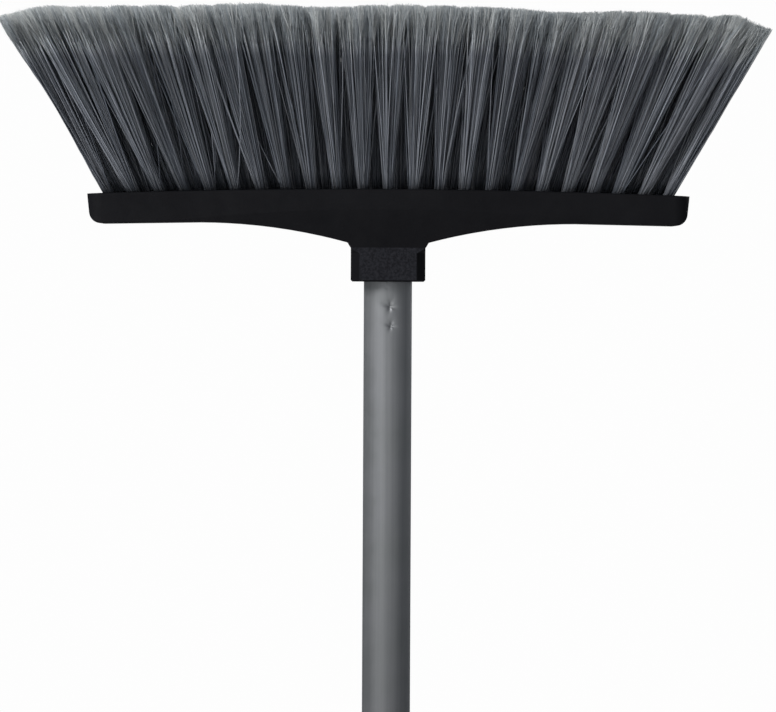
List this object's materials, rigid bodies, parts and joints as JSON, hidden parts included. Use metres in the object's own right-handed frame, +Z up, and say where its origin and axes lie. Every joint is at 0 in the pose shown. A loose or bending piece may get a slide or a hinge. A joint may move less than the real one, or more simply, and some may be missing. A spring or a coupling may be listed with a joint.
{
  "type": "push broom",
  "caption": "Push broom with a fan of flared grey bristles in an arched black block, screwed onto a round metal handle with a hanging eyelet.",
  "frame": {"origin": "lowest point of the hanging eyelet, on the handle's axis; the broom stands on its handle with the bristles up", "axes": "+Z up the handle towards the bristle tips, X along the brush block, Y through its depth (the sweeping direction)"},
  "size_m": [0.378, 0.0798, 1.3545],
  "materials": {
    "block_plastic": "matte moulded plastic, fine texture",
    "bristle_filament": "straight synthetic filaments with split, lighter tips",
    "tube_metal": "satin grey coating on thin steel tube",
    "plug_plastic": "moulded plastic",
    "cap_plastic": "moulded plastic, lightly worn",
    "anchor_wire": "flat drawn wire"
  },
  "bodies": {
    "eyelet": {"hanging_eyelet": "cap_plastic"},
    "handle": {"handle_tube": "tube_metal", "threaded_plug": "plug_plastic", "end_bushing": "cap_plastic"},
    "head": {"brush_block": "block_plastic", "tuft_anchors": "anchor_wire", "tuft_column_01": "bristle_filament", "tuft_column_02": "bristle_filament", "tuft_column_03": "bristle_filament", "tuft_column_04": "bristle_filament", "tuft_column_05": "bristle_filament", "tuft_column_06": "bristle_filament", "tuft_column_07": "bristle_filament", "tuft_column_08": "bristle_filament", "tuft_column_09": "bristle_filament", "tuft_column_10": "bristle_filament", "tuft_column_11": "bristle_filament", "tuft_column_12": "bristle_filament", "tuft_column_13": "bristle_filament", "tuft_column_14": "bristle_filament", "tuft_column_15": "bristle_filament", "tuft_column_16": "bristle_filament", "tuft_column_17": "bristle_filament", "tuft_column_18": "bristle_filament", "tuft_column_19": "bristle_filament", "tuft_column_20": "bristle_filament", "tuft_column_21": "bristle_filament", "tuft_column_22": "bristle_filament", "tuft_column_23": "bristle_filament", "tuft_column_24": "bristle_filament", "tuft_column_25": "bristle_filament", "tuft_column_26": "bristle_filament", "tuft_column_27": "bristle_filament", "tuft_column_28": "bristle_filament", "tuft_column_29": "bristle_filament", "tuft_column_30": "bristle_filament", "tuft_column_31": "bristle_filament", "tuft_column_32": "bristle_filament", "tuft_column_33": "bristle_filament", "tuft_column_34": "bristle_filament", "tuft_column_35": "bristle_filament", "tuft_column_36": "bristle_filament", "tuft_column_37": "bristle_filament", "tuft_column_38": "bristle_filament", "tuft_column_39": "bristle_filament", "tuft_column_40": "bristle_filament", "tuft_column_41": "bristle_filament", "tuft_column_42": "bristle_filament", "tuft_column_43": "bristle_filament", "tuft_column_44": "bristle_filament", "tuft_column_45": "bristle_filament"}
  },
  "joints": [
    {"name": "handle_turn", "type": "hinge", "parent": "eyelet", "child": "handle", "pos_m": [0, 0, 1.2], "axis": [0, 0, -1], "range_deg": [0, 1710]},
    {"name": "head_advance", "type": "slide", "parent": "eyelet", "child": "head", "axis": [0, 0, 1], "range_m": [0, 0.02413]}
  ],
  "couplings": [
    {"joint": "handle_turn", "follows": "head_advance", "rad_per_m": 1236.8}
  ]
}
